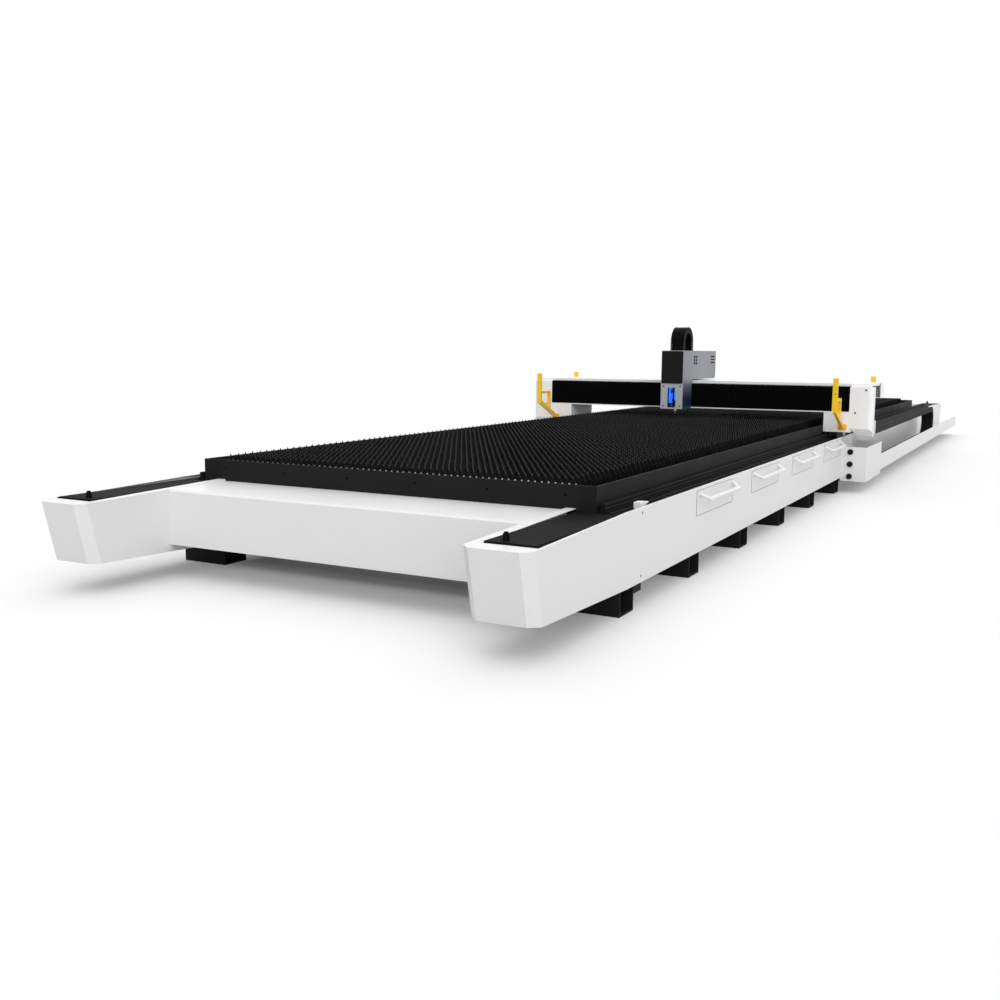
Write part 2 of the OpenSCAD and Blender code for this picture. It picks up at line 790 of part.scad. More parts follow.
// White box beam with ledges above and below its bellows
module crossbeam() {
    color(white) {
        difference() {
            block([-cross_half, beam_front, cross_low], [cross_half, beam_rear, cross_high]);
            block([cross_wall - cross_half, beam_front + cross_wall, cross_low + cross_wall],
                  [cross_half - cross_wall, beam_rear - cross_wall, cross_high - cross_wall]);
        }
        block([-cross_half, gantry_rest, cross_low], [cross_half, beam_front + eps, cross_low + 12]);
    }
}
module beam_rails() {
    color(steel) for (z = [x_rail_low, x_rail_high])
        block([-x_rail_half, beam_front - x_rail_h, z], [x_rail_half, beam_front, z + x_rail_w]);
}

// Folded lid of the crossbeam and the end covers, with a front lip behind the bellows
module beam_top_cover() {
    top = cross_high + top_cover_h;
    half = gantry_half - 30;
    front = top_cover_front;
    color(white) {
        along_x(-half, half) polygon([
            [front, cross_high - lip_t], [front + sheet, cross_high - lip_t], [front + sheet, top - sheet],
            [beam_rear - sheet, top - sheet], [beam_rear - sheet, cross_high], [beam_rear, cross_high],
            [beam_rear, top], [front, top]]);
        both_sides() block([half - sheet, front, cross_high], [half, beam_rear, top]);
    }
}

// Hood with round corners behind the crossbeam
module beam_rear_hood() {
    low = cross_high - 155;
    high = cross_high + top_cover_h;
    half = gantry_half - 20;
    module outline(inset) {
        translate([beam_rear - hood_r, low + inset]) intersection() {
            round_rect([hood_d + hood_r - inset, high - low - 2 * inset], hood_r - inset);
            translate([hood_r, -eps]) square([hood_d, high]);
        }
    }
    color(white) difference() {
        along_x(-half, half) outline(0);
        along_x(sheet - half, half - sheet) translate([-eps, 0]) outline(sheet);
    }
}

// Pleated front shield between x0 and x1, cut to a sloping top edge
module bellows(x0, x1) {
    count = round((x1 - x0) / fold_pitch);
    step = (x1 - x0) / count;
    back = gantry_rest + bellows_d;
    folds = [for (i = [0:count - 1], p = [[0, fold_d], [0.5, 0]]) [x0 + (i + p.x) * step, gantry_rest + p.y]];
    color(black) intersection() {
        translate([0, 0, bellows_low]) linear_extrude(bellows_high - bellows_low)
            polygon(concat(folds, [[x1, gantry_rest + fold_d], [x1, back], [x0, back]]));
        along_x(x0 - eps, x1 + eps) polygon([
            [gantry_rest - eps, bellows_low - eps], [back + eps, bellows_low - eps],
            [back + eps, bellows_high + eps],
            [gantry_rest + 22, bellows_high + eps], [gantry_rest - eps, bellows_high - 30]]);
    }
}
module left_bellows() { bellows(-cross_half, head_left - clear); }
module right_bellows() { bellows(head_right + clear, cross_half); }

// Hollow welded truck on the right, with the crossbeam standing on it
module truck() {
    wall = 12;
    difference() {
        block([truck_in, gantry_rest, truck_low], [truck_out, truck_rear, cross_low]);
        block([truck_in + wall, gantry_rest + wall, truck_low + wall],
              [truck_out - wall, truck_rear - wall, cross_low - wall]);
    }
}
module left_truck() { color(white) mirror([1, 0, 0]) truck(); }
module right_truck() { color(white) truck(); }

// Closed end cover outside the truck: a front with a round outer edge, over a foot that slopes in and back
module end_cover() {
    foot_low = truck_low - 44;
    foot_high = truck_low + 45;
    foot_in = 78;
    foot_back = 105;
    edge_r = 60;
    module front_outline(i) {
        polygon([[truck_out + i, foot_high + i / 2], [truck_out + foot_in + i / 2, foot_low + i],
                 [gantry_half - i, foot_low + i], [gantry_half - i, end_cover_top - i],
                 [cross_half + i, end_cover_top - i], [cross_half + i, cross_low + i],
                 [truck_out + i, cross_low + i]]);
    }
    module side_outline(i) {
        polygon([[i, end_cover_top], [i, foot_high + i / 2], [foot_back + i / 2, foot_low],
                 [cover_d - i, foot_low], [cover_d - i, end_cover_top]]);
    }
    module plan_outline(i) {
        square([gantry_half - edge_r, cover_d]);
        translate([0, edge_r]) square([gantry_half, cover_d]);
        translate([gantry_half - edge_r, edge_r]) circle(edge_r - i);
    }
    module body(i) {
        intersection() {
            along_y(gantry_rest, gantry_rest + cover_d) front_outline(i);
            translate([0, gantry_rest, 0]) along_x(cross_half, gantry_half) side_outline(i);
            translate([0, gantry_rest, foot_low]) linear_extrude(end_cover_top - foot_low) plan_outline(i);
        }
    }
    difference() {
        body(0);
        body(sheet);
    }
}
module left_end_cover() { color(white) mirror([1, 0, 0]) end_cover(); }
module right_end_cover() { color(white) end_cover(); }

// Two guide blocks with risers under each truck
module guide_blocks() {
    length = 150;
    skirt = rail_low + 14;
    color(black) both_sides() for (y = [gantry_rest + 40, truck_rear - 40 - length]) difference() {
        block([rail_x - block_w / 2, y, skirt], [rail_x + block_w / 2, y + length, truck_low]);
        block([rail_x - rail_w / 2 - clear, y - eps, skirt - eps],
              [rail_x + rail_w / 2 + clear, y + length + eps, rail_low + rail_h + clear]);
    }
}

// Gearbox under each truck, bored for its pinion's shaft
shaft_r = 10;
shaft_l = 34;
gearbox_x = strip_x + 1;
module drive_gearboxes() {
    size = [beam_out - 6 - gearbox_x, 130, truck_low - strip_top - 3];
    color(steel) both_sides() difference() {
        translate([gearbox_x, gantry_mid - size.y / 2, strip_top + 3]) cube(size);
        translate([gearbox_x - eps, gantry_mid, pinion_z]) rotate([0, 90, 0])
            cylinder(h = shaft_l + 2, r = shaft_r + 0.05);
    }
}

// Toothed pinion on a short shaft
module pinion() {
    root = pinion_r * 0.86;
    tooth = [[0, root], [0.3, root], [0.42, pinion_r], [0.58, pinion_r], [0.7, root]];
    wave = [for (i = [0:pinion_teeth - 1], p = tooth)
        p.y * [cos((i + p.x) * 360 / pinion_teeth), sin((i + p.x) * 360 / pinion_teeth)]];
    translate([rack_x, gantry_mid, pinion_z]) rotate([0, 90, 0]) {
        linear_extrude(rack_w) polygon(wave);
        cylinder(h = gearbox_x - rack_x + shaft_l, r = shaft_r);
    }
}
module left_pinion() { color(steel) mirror([1, 0, 0]) pinion(); }
module right_pinion() { color(steel) pinion(); }

// Guard post on a bent arm off a truck's face; out is -1 to the front and 1 to the rear.
// The foot plate reaches inward by foot_in, and a hook-shaped stay may join bar and arm.
module guard_post(x, face, reach, out, foot_z, foot_in, with_stay) {
    arm = 36;
    t = 24;
    bar = 30;
    post_low = cross_low + 25;
    arm_top = post_low + 56;
    stay_z = post_low + guard_h * 0.32;
    y = face + out * reach;
    stay_y = y - out * reach * 0.58;
    stay_low = post_low + 20 + (foot_z - post_low - 20) * 0.58;
    plate = [foot_in + 48, 12, 70];
    // Upright bar with a pivot hole
    difference() {
        block([x - guard_w / 2, y - t / 2, post_low], [x + guard_w / 2, y + t / 2, post_low + guard_h]);
        translate([x, y - t, post_low + guard_h * 0.53]) rotate([-90, 0, 0]) cylinder(h = 2 * t, r = 9);
    }
    // Bent arm from the bar to the foot
    along_x(x - arm / 2, x + arm / 2) polygon([
        [y, post_low], [y, arm_top], [face + out * 11, foot_z + arm / 2 + 8],
        [face + out * 11, foot_z - arm / 2 - 8]]);
    translate([x - foot_in, out < 0 ? face - plate.y : face, foot_z - plate.z / 2]) cube(plate);
    // Stay from the bar back and down to the arm
    if (with_stay) along_x(x - arm / 2, x + arm / 2) polygon([
        [y, stay_z], [y, stay_z + bar], [stay_y, stay_z + bar], [stay_y, stay_low],
        [stay_y + out * bar, stay_low], [stay_y + out * bar, stay_z]]);
}
module guard_posts() {
    front_foot = truck_low + truck_h * 0.26;
    rear_foot = truck_low + truck_h * 0.68;
    rear_reach = hood_rear + 90 - truck_rear;
    color(yellow) both_sides() {
        guard_post(truck_out - 90, gantry_rest, guard_out, -1, front_foot, 48, true);
        guard_post(truck_out + 80, truck_rear, rear_reach, 1, rear_foot, 160, false);
    }
}

// Carriage plate with a spacer to the housing and guide blocks round the beam rails
module carriage() {
    half = head_w / 2 - 12;
    color(steel) {
        block([head_x - half, carriage_y - carriage_t, x_rail_low - 20],
              [head_x + half, carriage_y, x_rail_high + x_rail_w + 20]);
        block([head_x - half + 50, head_back, x_rail_low + 30],
              [head_x + half - 50, carriage_y - carriage_t + eps, x_rail_high]);
        for (z = [x_rail_low, x_rail_high], side = [-1, 1]) difference() {
            block([head_x + side * half * 0.6 - 42, carriage_y - eps, z - 16],
                  [head_x + side * half * 0.6 + 42, beam_front - 6, z + x_rail_w + 16]);
            block([head_left, beam_front - x_rail_h - clear, z - clear],
                  [head_right, beam_front, z + x_rail_w + clear]);
        }
    }
}

// Side outline of the head housing: a front column and an overhang above the beam, with round corners
module head_outline(inset, open_low) {
    r = 60;
    big = r + inset;
    small = r - inset;
    inner = [for (a = [180:-15:90]) [head_back + r + big * cos(a), head_under - r + big * sin(a)]];
    outer = [for (a = [-90:15:0]) [head_rear - r + small * cos(a), head_under + r + small * sin(a)]];
    polygon(concat(
        [[head_front + inset, head_low - open_low], [head_back - inset, head_low - open_low]], inner, outer,
        [[head_rear - inset, head_high - inset], [head_front + inset, head_high - inset]]));
}

// Folded housing of the head, open below, with a window slot and vents in its right wall
module head_housing() {
    slot_low = head_low + 18;
    slot_high = panel_low - 50;
    vent_x = head_right - 2 * sheet;
    vent_z = head_under + head_h * 0.56;
    vent_step = head_h * 0.11;
    color(silver) difference() {
        along_x(head_left, head_right) head_outline(0, 0);
        along_x(head_left + sheet, head_right - sheet) head_outline(sheet, 10);
        translate([head_x - slot_w / 2, head_front + sheet + eps, slot_low]) rotate([90, 0, 0])
            linear_extrude(sheet + 2 * eps) round_rect([slot_w, slot_high - slot_low], 12);
        for (i = [0:2], j = [0:1]) translate([vent_x, head_front + 440 + j * 80, vent_z + i * vent_step])
            rotate([0, 90, 0]) cylinder(h = 3 * sheet, r = 13);
        for (i = [0:2])
            block([vent_x, head_rear - 230, vent_z + i * vent_step],
                  [head_right + eps, head_rear - 40, vent_z + i * vent_step + 16]);
    }
}

// Black panel over the upper front of the housing
module head_front_panel() {
    margin = 6;
    t = 8;
    color(black) translate([head_left + margin, head_front, panel_low]) rotate([90, 0, 0])
        linear_extrude(t) round_rect([head_w - 2 * margin, head_high - margin - panel_low], 20);
}

// Short chain loop that stands on the housing
module head_chain_loop() {
    leg = 100;
    x = head_x + 35;
    y = head_front + 50 + loop_r;
    rib = 7;
    color(black) translate([x, y, head_high + leg]) {
        chain_bend(loop_w, loop_r, loop_t, 9, 0);
        for (side = [-1, 1]) {
            mid = side * (loop_r - loop_t / 2);
            block([rib - loop_w / 2, mid - loop_t / 2 + rib, -leg],
                  [loop_w / 2 - rib, mid + loop_t / 2 - rib, eps]);
            block([-loop_w / 2, mid - loop_t / 2, -leg], [loop_w / 2, mid + loop_t / 2, -8]);
        }
    }
}

// Vertical guides inside the housing
z_rail_w = 22;
z_rail_d = 20;
z_rail_off = 70;
z_rail_front = head_back - sheet - z_rail_d;
module z_rails() {
    color(steel) for (side = [-1, 1])
        block([head_x + side * z_rail_off - z_rail_w / 2, z_rail_front, head_low + 30],
              [head_x + side * z_rail_off + z_rail_w / 2, head_back - sheet, head_under + 160]);
}

// Slide plate on the vertical guides, with the clamp that holds the barrel
z_slide_t = 22;
barrel_top = panel_low - 40;
module z_slide() {
    front = z_rail_front - clear - z_slide_t;
    low = head_low + 110;
    color(steel) {
        block([head_x - z_rail_off - 25, front, low],
              [head_x + z_rail_off + 25, z_rail_front - clear, head_under + 40]);
        difference() {
            block([head_x - 55, barrel_y - 30, barrel_top - 90], [head_x + 55, front + eps, barrel_top - 30]);
            translate([head_x, barrel_y, barrel_top - 100]) cylinder(h = 90, r = barrel_r + 0.05);
        }
    }
}

// Barrel of the cutting head with its collimator block on top
nozzle_l = 84;
module cutting_head() {
    low = nozzle_tip + nozzle_l;
    color(silver) translate([head_x, barrel_y, 0]) {
        translate([0, 0, low]) cylinder(h = barrel_top - low, r = barrel_r);
        translate([0, 0, low + 60]) cylinder(h = 36, r = barrel_r + 6);
        translate([0, 0, barrel_top]) linear_extrude(130) translate([-48, -48]) round_rect([96, 96], 10);
    }
}
module nozzle() {
    color([0.75, 0.52, 0.3]) translate([head_x, barrel_y, nozzle_tip]) difference() {
        union() {
            cylinder(h = 26, r1 = 6, r2 = 13);
            translate([0, 0, 26]) cylinder(h = 20, r = 20);
            translate([0, 0, 46]) cylinder(h = nozzle_l - 46, r1 = 20, r2 = barrel_r - 6);
        }
        translate([0, 0, -eps]) cylinder(h = nozzle_l + 2 * eps, r = 2);
    }
}

left_side_beam();
right_side_beam();
cross_members();
feet();
front_left_end_box();
front_right_end_box();
rear_left_end_box();
rear_right_end_box();
front_cover();
rear_cover();
left_side_panel();
right_side_panel();
left_rail_cover();
right_rail_cover();
bed_rails();
racks();
end_stops();
limit_switch();
slat_frame();
slat_carriers();
slats();
drawer_runners();
gland_box();
cable_glands();
chain_tray();
chain_lower_run();
chain_loop();
chain_upper_run();
chain_bracket();
slag_drawer_1();
slag_drawer_2();
slag_drawer_3();
slag_drawer_4();
drawer_handle_1();
drawer_handle_2();
drawer_handle_3();
drawer_handle_4();
crossbeam();
beam_rails();
beam_top_cover();
beam_rear_hood();
left_bellows();
right_bellows();
left_truck();
right_truck();
left_end_cover();
right_end_cover();
guide_blocks();
drive_gearboxes();
left_pinion();
right_pinion();
guard_posts();
carriage();
head_housing();
head_front_panel();
head_chain_loop();
z_rails();
z_slide();
cutting_head();
nozzle();
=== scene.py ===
import json
import math

import bpy
import numpy as np
from mathutils import Matrix, Vector


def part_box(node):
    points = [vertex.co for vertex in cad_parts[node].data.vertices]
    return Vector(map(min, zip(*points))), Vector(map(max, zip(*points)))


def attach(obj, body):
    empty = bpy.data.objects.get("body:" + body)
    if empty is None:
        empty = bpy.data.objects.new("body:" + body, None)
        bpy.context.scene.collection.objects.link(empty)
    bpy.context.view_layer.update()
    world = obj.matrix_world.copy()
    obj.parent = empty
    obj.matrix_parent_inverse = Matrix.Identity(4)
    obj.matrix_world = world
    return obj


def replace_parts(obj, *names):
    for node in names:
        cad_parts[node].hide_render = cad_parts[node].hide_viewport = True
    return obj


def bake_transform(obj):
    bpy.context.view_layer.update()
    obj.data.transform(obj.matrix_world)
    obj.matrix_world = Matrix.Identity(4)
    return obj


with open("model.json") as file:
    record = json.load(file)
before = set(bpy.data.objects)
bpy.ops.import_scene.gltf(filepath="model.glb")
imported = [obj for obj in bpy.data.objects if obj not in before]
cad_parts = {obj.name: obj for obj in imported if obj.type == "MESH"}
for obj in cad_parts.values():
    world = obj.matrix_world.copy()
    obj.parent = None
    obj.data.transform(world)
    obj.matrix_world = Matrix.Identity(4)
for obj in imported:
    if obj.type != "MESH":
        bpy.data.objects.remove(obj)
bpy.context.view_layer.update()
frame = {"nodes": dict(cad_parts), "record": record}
NODES = frame["nodes"]


# Camera: the photograph's viewpoint, in metres and degrees

CAMERA_PLACE = Vector((4.2834, -14.539, 1.6703))
CAMERA_YAW, CAMERA_PITCH, CAMERA_ROLL = 28.3642, 8.023, 0.3897
CAMERA_LENS, CAMERA_SENSOR = 37.66, 36
CAMERA_REACH = 300


def add_camera():
    yaw, pitch, roll = (math.radians(a) for a in (CAMERA_YAW, CAMERA_PITCH, CAMERA_ROLL))
    forward = Vector((-math.sin(yaw) * math.cos(pitch), math.cos(yaw) * math.cos(pitch), -math.sin(pitch)))
    level = Vector((math.cos(yaw), math.sin(yaw), 0))
    upright = level.cross(forward)
    right = math.cos(roll) * level + math.sin(roll) * upright
    up = math.cos(roll) * upright - math.sin(roll) * level
    data = bpy.data.cameras.new("camera")
    data.lens = CAMERA_LENS
    data.sensor_width = CAMERA_SENSOR
    data.clip_end = CAMERA_REACH
    camera = bpy.data.objects.new("camera", data)
    turn = Matrix((right, up, -forward)).transposed()
    camera.matrix_world = Matrix.Translation(CAMERA_PLACE) @ turn.to_4x4()
    bpy.context.scene.collection.objects.link(camera)
    bpy.context.scene.camera = camera


# Shader helpers

class Socket:
    """A node's output that takes part in arithmetic by adding math nodes."""

    def __init__(self, graph, output):
        self.graph = graph
        self.output = output

    def math(self, operation, *values):
        return self.graph.node("ShaderNodeMath", values, operation=operation)

    def __add__(self, other):
        return self.math("ADD", self, other)

    def __sub__(self, other):
        return self.math("SUBTRACT", self, other)

    def __rsub__(self, other):
        return self.math("SUBTRACT", other, self)

    def __mul__(self, other):
        return self.math("MULTIPLY", self, other)

    def __abs__(self):
        return self.math("ABSOLUTE", self)

    __radd__ = __add__
    __rmul__ = __mul__

    def step(self, low, high):
        """0 at low, 1 at high and smooth between them; low may be the larger."""
        return self.graph.node("ShaderNodeMapRange", {"Value": self, "From Min": low, "From Max": high},
                               interpolation_type="SMOOTHSTEP")

    def mix(self, first, second):
        """Colour from first at 0 to second at 1."""
        colours = {"Factor": self, 6: first, 7: second}
        return self.graph.node("ShaderNodeMix", colours, out=2, data_type="RGBA")


class Graph:
    """A node tree with one method that adds a node, sets or links its inputs and gives an output."""

    def __init__(self, tree):
        self.tree = tree

    def node(self, kind, inputs=(), out=0, **settings):
        made = self.tree.nodes.new(kind)
        for key, value in settings.items():
            setattr(made, key, value)
        pairs = inputs.items() if isinstance(inputs, dict) else enumerate(inputs)
        for key, value in pairs:
            self.plug(made.inputs[key], value)
        return Socket(self, made.outputs[out])

    def plug(self, target, value):
        if isinstance(value, Socket):
            self.tree.links.new(value.output, target)
        elif isinstance(value, tuple) and len(value) == 3 and len(target.default_value) == 4:
            target.default_value = (*value, 1)
        else:
            target.default_value = value

    def part(self, vector, axis):
        return self.node("ShaderNodeSeparateXYZ", [vector], out=axis)

    def seen(self):
        """1 for what the eye meets directly, in a mirror or through glass, and 0 for light on the object."""
        camera, glossy, through = (self.node("ShaderNodeLightPath", out=f"Is {kind} Ray")
                                   for kind in ("Camera", "Glossy", "Transmission"))
        return camera + glossy + through


class Paint(Graph):
    """A material with one principled shader, its inputs set by name."""

    def __init__(self, name):
        self.material = bpy.data.materials.new(name)
        self.material.use_nodes = True
        super().__init__(self.material.node_tree)
        self.shader = self.tree.nodes["Principled BSDF"]

    def place(self):
        """The point in the object's own frame, which is the row frame at rest."""
        return self.node("ShaderNodeTexCoord", out="Object")

    def axis(self, name):
        return self.part(self.place(), name)

    def facing(self, name):
        return self.part(self.node("ShaderNodeTexCoord", out="Normal"), name)

    def noise(self, scale, detail=3.0, stretch=(1, 1, 1)):
        place = self.node("ShaderNodeMapping", {"Vector": self.place(), "Scale": stretch})
        return self.node("ShaderNodeTexNoise", {"Vector": place, "Scale": scale, "Detail": detail})

    def bump(self, height, strength, distance):
        return self.node("ShaderNodeBump", {"Height": height, "Strength": strength, "Distance": distance})

    def set(self, **inputs):
        for name, value in inputs.items():
            self.plug(self.shader.inputs[name.replace("_", " ")], value)
        return self.material


# Materials, with lengths in metres

TOOTH_PITCH = 0.050
# The white paint's level, and that of a lighter copy for the gantry's white parts, which is painted light
WHITE_LEVEL, LIT_COPY_LEVEL = 0.75, 0.87
# Heights over the floor where a change of colour starts and where it is full
GRIME_HEIGHTS = (0.42, 0.16)
TIP_LIGHTER_HEIGHTS = (0.848, 0.868)
POST_SHADE_HEIGHTS = (0.98, 0.84)
SIDE_BLUE_LIGHT_HEIGHTS = (1.34, 1.08)
# The same over the lower end of the head's barrel
BARREL_FOOT_HEIGHTS = (0.105, 0.1)
# Glints on the first slat: how far they reach behind the frame's front, over and under its top edge,
# and from a notch's middle in tooth pitches
GLINT_BEHIND = (0.1, 0.09)
GLINT_OVER = (0.004, 0.002)
GLINT_UNDER = (0.01, 0.006)
GLINT_REACH = (0.14, 0.08)
# Shares of the slats' left and right ends between which the glints brighten
GLINT_LEFT, GLINT_RIGHT = 1.6, 0.9


def white_paint(name, level):
    p = Paint(name)
    cloud = p.noise(1.4)
    skin = p.noise(420, 2)
    grime = p.axis("Z").step(*GRIME_HEIGHTS) * p.noise(5, 5)
    base = cloud.mix((level, level, level), (level + 0.03, level + 0.03, level + 0.033))
    return p.set(Base_Color=(grime * 0.15).mix(base, (0.62, 0.61, 0.6)), Roughness=cloud * 0.14 + 0.3,
                 Specular_IOR_Level=0.25, Normal=p.bump(skin, 0.05, 0.002))


def black_paint():
    p = Paint("black_paint")
    cloud = p.noise(2.5, 5)
    skin = p.noise(300, 2)
    return p.set(Base_Color=cloud.mix((0.008, 0.008, 0.0085), (0.014, 0.014, 0.015)),
                 Roughness=cloud * 0.25 + 0.5, Specular_IOR_Level=0.1, Normal=p.bump(skin, 0.08, 0.002))


def slat_steel():
    p = Paint("slat_steel")
    scale = p.noise(9, 6)
    scorch = p.noise(38, 4).step(0.52, 0.72)
    # The teeth turn lighter grey towards their tips
    tip = p.axis("Z").step(*TIP_LIGHTER_HEIGHTS)
    base = scale.mix((0.003, 0.003, 0.0034), (0.009, 0.009, 0.0095))
    worn = (scorch * 0.4).mix(base, (0.03, 0.028, 0.026))
    tipped = (tip * 0.5).mix(worn, (0.12, 0.12, 0.125))
    # The base colour carries painted glints at the notches' feet
    return p.set(Base_Color=(notch_glint(p) * 0.9).mix(tipped, (0.8, 0.8, 0.8)), Metallic=0.2,
                 Specular_IOR_Level=0.1, Roughness=scale * 0.3 + 0.42, Normal=p.bump(scale, 0.2, 0.003))


def notch_glint(p):
    """1 on the first slat at the foot of each notch, a painted glint; brighter to the right."""
    low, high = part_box("slats")
    frame_low, frame_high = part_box("slat_frame")
    along = p.axis("X") * (1 / TOOTH_PITCH)
    at_notch = along.math("PINGPONG", along, 0.5).step(*GLINT_REACH)
    right = p.axis("X").step(low.x * GLINT_LEFT, high.x * GLINT_RIGHT)
    first = p.axis("Y").step(*(frame_low.y + reach for reach in GLINT_BEHIND))
    over = p.axis("Z").step(*(frame_high.z + reach for reach in GLINT_OVER))
    under = p.axis("Z").step(*(frame_high.z - reach for reach in GLINT_UNDER))
    return at_notch * first * over * under * right


def machined_steel():
    p = Paint("machined_steel")
    streak = p.noise(90, 3, (1, 0.04, 1))
    return p.set(Base_Color=streak.mix((0.2, 0.2, 0.21), (0.34, 0.35, 0.36)), Metallic=0.9,
                 Roughness=streak * 0.25 + 0.25)


def oiled_steel():
    p = Paint("oiled_steel")
    streak = p.noise(90, 3, (1, 0.04, 1))
    return p.set(Base_Color=streak.mix((0.005, 0.005, 0.0053), (0.011, 0.011, 0.0115)), Metallic=0.1,
                 Roughness=streak * 0.2 + 0.5, Specular_IOR_Level=0.06)


def cap_black():
    p = Paint("cap_black")
    cloud = p.noise(2, 4)
    return p.set(Base_Color=cloud.mix((0.006, 0.006, 0.0064), (0.011, 0.011, 0.0115)),
                 Roughness=cloud * 0.2 + 0.6, Specular_IOR_Level=0.04,
                 Normal=p.bump(p.noise(300, 2), 0.05, 0.002))


def chain_plastic():
    p = Paint("chain_plastic")
    cloud = p.noise(14, 4)
    return p.set(Base_Color=cloud.mix((0.008, 0.008, 0.0085), (0.016, 0.016, 0.017)),
                 Roughness=cloud * 0.2 + 0.5, Specular_IOR_Level=0.05,
                 Normal=p.bump(p.noise(260, 2), 0.08, 0.002))


def bellows_cloth():
    p = Paint("bellows_cloth")
    weave = p.noise(500, 2)
    cloud = p.noise(3, 4)
    return p.set(Base_Color=cloud.mix((0.0012, 0.0012, 0.0014), (0.003, 0.003, 0.0033)),
                 Roughness=cloud * 0.15 + 0.7, Specular_IOR_Level=0.06, Normal=p.bump(weave, 0.15, 0.001))


def yellow_paint():
    p = Paint("yellow_paint")
    cloud = p.noise(12, 4)
    shaded = p.axis("Z").step(*POST_SHADE_HEIGHTS)
    base = cloud.mix((0.93, 0.57, 0.02), (0.97, 0.63, 0.03))
    return p.set(Base_Color=(shaded * 0.6).mix(base, (0.75, 0.36, 0.012)), Roughness=cloud * 0.12 + 0.32,
                 Specular_IOR_Level=0.3)


def silver_paint():
    p = Paint("silver_paint")
    flake = p.noise(700, 2)
    across = p.facing("X")
    side = abs(across).step(0.4, 0.8)
    front = p.facing("Y").step(-0.4, -0.8)
    lower = p.axis("Z").step(*SIDE_BLUE_LIGHT_HEIGHTS)
    low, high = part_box("head_housing")
    # Faces inside the housing turn near black and lose their metal: painted shade
    inside_shade = ((p.axis("X") - (low.x + high.x) / 2) * across).step(0.0, -0.01)
    # Faces that look to the front get a lighter silver: painted light
    base = front.mix(flake.mix((0.2, 0.212, 0.235), (0.27, 0.283, 0.31)), (0.44, 0.455, 0.48))
    # The sides turn dark blue towards the bottom: painted blue light from the head's lit window
    lit = (side * lower * 0.95).mix(base, (0.008, 0.024, 0.09))
    return p.set(Base_Color=inside_shade.mix(lit, (0.006, 0.008, 0.014)), Metallic=(1.0 - inside_shade) * 0.35,
                 Roughness=flake * 0.1 + 0.34)


def gloss_black():
    p = Paint("gloss_black")
    smear = p.noise(6, 4)
    return p.set(Base_Color=smear.mix((0.005, 0.005, 0.0055), (0.009, 0.009, 0.0095)),
                 Roughness=smear * 0.12 + 0.18, Specular_IOR_Level=0.12)


def link_black():
    p = Paint("link_black")
    smear = p.noise(9, 4)
    return p.set(Base_Color=smear.mix((0.001, 0.001, 0.0012), (0.0025, 0.0025, 0.0028)),
                 Roughness=smear * 0.15 + 0.42, Specular_IOR_Level=0.06)


# Mid grey for the strips that stand in for the shadow in the drawers' gaps: painted shade
def gap_shadow_grey():
    p = Paint("gap_shadow_grey")
    dust = p.noise(60, 3)
    return p.set(Base_Color=dust.mix((0.2, 0.2, 0.2), (0.26, 0.26, 0.265)), Roughness=dust * 0.2 + 0.6,
                 Specular_IOR_Level=0.15)


def soft_rubber():
    p = Paint("soft_rubber")
    dust = p.noise(40, 4)
    return p.set(Base_Color=dust.mix((0.004, 0.004, 0.004), (0.012, 0.012, 0.012)),
                 Roughness=dust * 0.2 + 0.6, Specular_IOR_Level=0.15)


def head_alloy():
    p = Paint("head_alloy")
    turned = p.noise(160, 2, (0.05, 0.05, 1))
    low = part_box("cutting_head")[0]
    foot = p.axis("Z").step(*(low.z + height for height in BARREL_FOOT_HEIGHTS))
    bare = turned.mix((0.5, 0.51, 0.54), (0.66, 0.67, 0.7))
    return p.set(Base_Color=foot.mix(bare, (0.004, 0.004, 0.005)), Metallic=(1.0 - foot) * 0.85,
                 Roughness=turned * 0.2 + 0.2)


def nozzle_brass():
    p = Paint("nozzle_brass")
    turned = p.noise(200, 2, (0.05, 0.05, 1))
    return p.set(Base_Color=turned.mix((0.8, 0.77, 0.72), (0.9, 0.87, 0.82)), Metallic=0.5,
                 Roughness=turned * 0.2 + 0.25)


def blue_light():
    p = Paint("blue_light")
    glow = p.noise(30, 2).mix((0.006, 0.09, 0.8), (0.03, 0.2, 1.0))
    return p.set(Base_Color=glow, Emission_Color=glow, Emission_Strength=1.3, Roughness=0.4)


PAINTS = {"white_paint": white_paint("white_paint", WHITE_LEVEL), "black_paint": black_paint(),
          "machined_steel": machined_steel(), "oiled_steel": oiled_steel(), "slat_steel": slat_steel(),
          "rubber_black": soft_rubber(), "chain_plastic": chain_plastic(),
          "bellows_fabric": bellows_cloth(), "yellow_paint": yellow_paint(), "silver_paint": silver_paint(),
          "gloss_black": gloss_black(), "head_alloy": head_alloy(), "nozzle_brass": nozzle_brass()}
BLUE = blue_light()
LINK_BLACK = link_black()
GAP_SHADOW_GREY = gap_shadow_grey()
# A lighter copy of the white paint: painted light, so that the gantry's white parts look as bright as lit
# faces
LIT_WHITE_COPY = white_paint("white_paint_lit_copy", LIT_COPY_LEVEL)
CAP_BLACK = cap_black()
LIT_COPY_NODES = ("crossbeam", "beam_top_cover", "beam_rear_hood", "left_truck", "right_truck",
                "left_end_cover", "right_end_cover", "limit_switch")
OWN_PAINT = {"left_rail_cover": CAP_BLACK, "right_rail_cover": CAP_BLACK, "end_stops": LINK_BLACK}
OWN_PAINT.update({node: LIT_WHITE_COPY for node in LIT_COPY_NODES})


def paint_nodes():
    for part in frame["record"]["subparts"]:
        data = NODES[part["node"]].data
        data.materials.clear()
        data.materials.append(OWN_PAINT.get(part["node"], PAINTS[part["material_slot"]]))


# Mesh helpers

